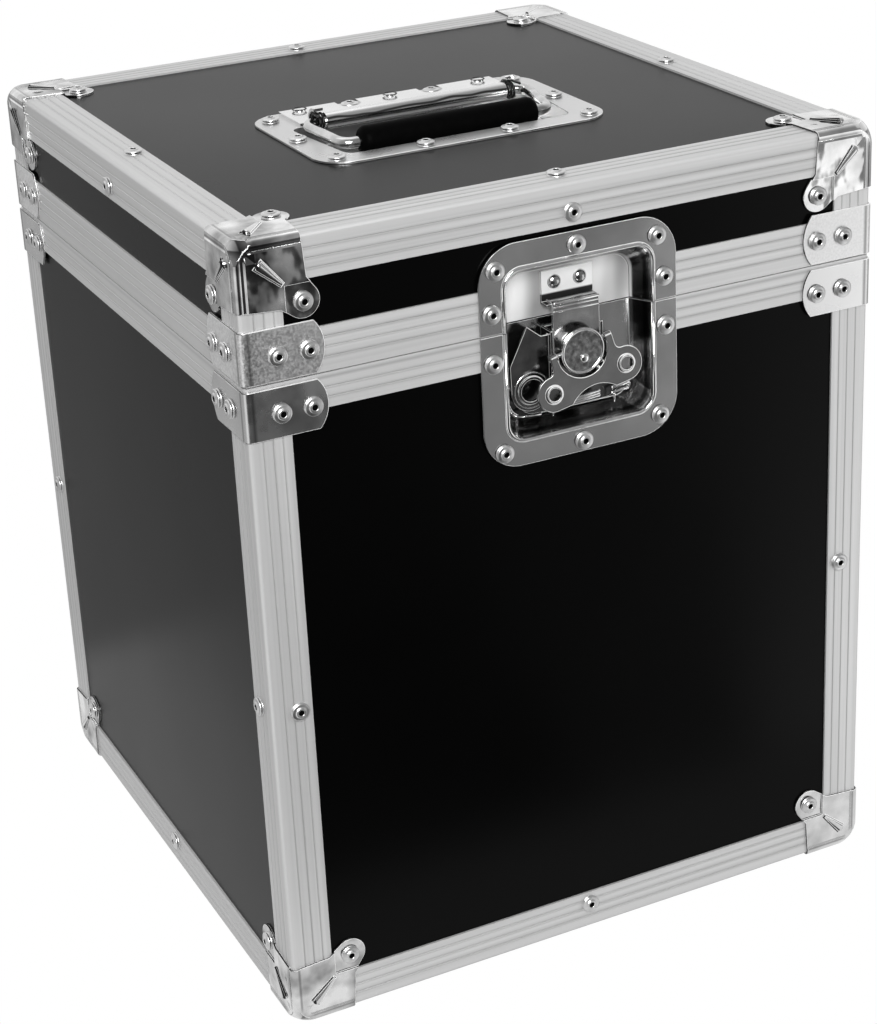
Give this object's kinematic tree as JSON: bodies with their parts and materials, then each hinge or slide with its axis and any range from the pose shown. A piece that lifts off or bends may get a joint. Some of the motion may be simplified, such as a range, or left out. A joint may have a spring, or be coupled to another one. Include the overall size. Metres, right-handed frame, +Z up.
{
  "type": "mirror ball flight case",
  "caption": "Cube-like flight case with aluminium edges, ball corners, hinged lid, recessed butterfly latch and sprung flip handle, foam lined for a mirror ball.",
  "frame": {"origin": "middle of the underside, on the plane that the bottom corner plates rest on", "axes": "+Z up, the latch faces -Y, the lid's hinges are at +Y"},
  "size_m": [0.3548, 0.3648, 0.4368],
  "materials": {
    "panel_laminate": "satin black laminate on 7 mm plywood",
    "angle_aluminium": "satin anodised, fluted",
    "plated_steel": "bright zinc plate",
    "spindle_chrome": "chrome",
    "rivet_steel": "bright plated",
    "spring_steel": "oiled dark wire",
    "grip_rubber": "matte black rubber",
    "foam": "open-cell grey-black foam"
  },
  "bodies": {
    "base": {"base_panel_bottom": "panel_laminate", "base_panel_front": "panel_laminate", "base_panel_back": "panel_laminate", "base_panel_left": "panel_laminate", "base_panel_right": "panel_laminate", "base_edge_front": "angle_aluminium", "base_edge_back": "angle_aluminium", "base_edge_left": "angle_aluminium", "base_edge_right": "angle_aluminium", "base_rim_front": "angle_aluminium", "base_rim_back": "angle_aluminium", "base_rim_left": "angle_aluminium", "base_rim_right": "angle_aluminium", "base_post_front_left": "angle_aluminium", "base_post_front_right": "angle_aluminium", "base_post_back_left": "angle_aluminium", "base_post_back_right": "angle_aluminium", "base_corners": "plated_steel", "base_clamps": "plated_steel", "latch_base_dish": "plated_steel", "latch_plate": "plated_steel", "hinge_base_leaves": "plated_steel", "hinge_pins": "plated_steel", "base_rivets": "rivet_steel", "base_floor_foam": "foam", "base_wall_foam_front": "foam", "base_wall_foam_back": "foam", "base_wall_foam_left": "foam", "base_wall_foam_right": "foam"},
    "lid": {"lid_panel_top": "panel_laminate", "lid_panel_front": "panel_laminate", "lid_panel_back": "panel_laminate", "lid_panel_left": "panel_laminate", "lid_panel_right": "panel_laminate", "lid_edge_front": "angle_aluminium", "lid_edge_back": "angle_aluminium", "lid_edge_left": "angle_aluminium", "lid_edge_right": "angle_aluminium", "lid_posts": "angle_aluminium", "lid_rim_front": "angle_aluminium", "lid_rim_back": "angle_aluminium", "lid_rim_left": "angle_aluminium", "lid_rim_right": "angle_aluminium", "lid_corners": "plated_steel", "lid_clamps": "plated_steel", "lid_rivets": "rivet_steel", "latch_lid_dish": "plated_steel", "latch_keeper": "plated_steel", "handle_dish": "plated_steel", "handle_barrel_plate": "plated_steel", "handle_springs": "spring_steel", "lid_foam": "foam", "hinge_lid_leaves": "plated_steel"},
    "bail": {"handle_bail": "plated_steel", "handle_grip": "grip_rubber"},
    "spindle": {"latch_spindle": "spindle_chrome", "wing_pin": "plated_steel"},
    "hook": {"latch_hook": "plated_steel"},
    "wing": {"latch_wing": "plated_steel"}
  },
  "joints": [
    {"name": "lid_hinge", "type": "hinge", "parent": "base", "child": "lid", "pos_m": [0, 0.1786, 0.3566], "axis": [-1, 0, 0], "range_deg": [0, 100]},
    {"name": "handle_flip", "type": "hinge", "parent": "lid", "child": "bail", "pos_m": [-0.0042, -0.0123, 0.4291], "axis": [-1, 0, 0], "range_deg": [0, 90], "stiffness_Nm_per_rad": 0.12, "springref_deg": -40.11},
    {"name": "latch_turn", "type": "hinge", "parent": "base", "child": "spindle", "pos_m": [0.0015, -0.175, 0.3404], "axis": [0, -1, 0], "range_deg": [0, 180]},
    {"name": "wing_fold", "type": "hinge", "parent": "spindle", "child": "wing", "pos_m": [0.00119, -0.1772, 0.34197], "axis": [-0.981, 0, -0.1942], "range_deg": [0, 80]},
    {"name": "hook_lift", "type": "slide", "parent": "base", "child": "hook", "axis": [0, 0, 1], "range_m": [0, 0.0035]}
  ],
  "couplings": [
    {"joint": "hook_lift", "follows": "latch_turn", "m_per_rad": 0.0011141}
  ]
}
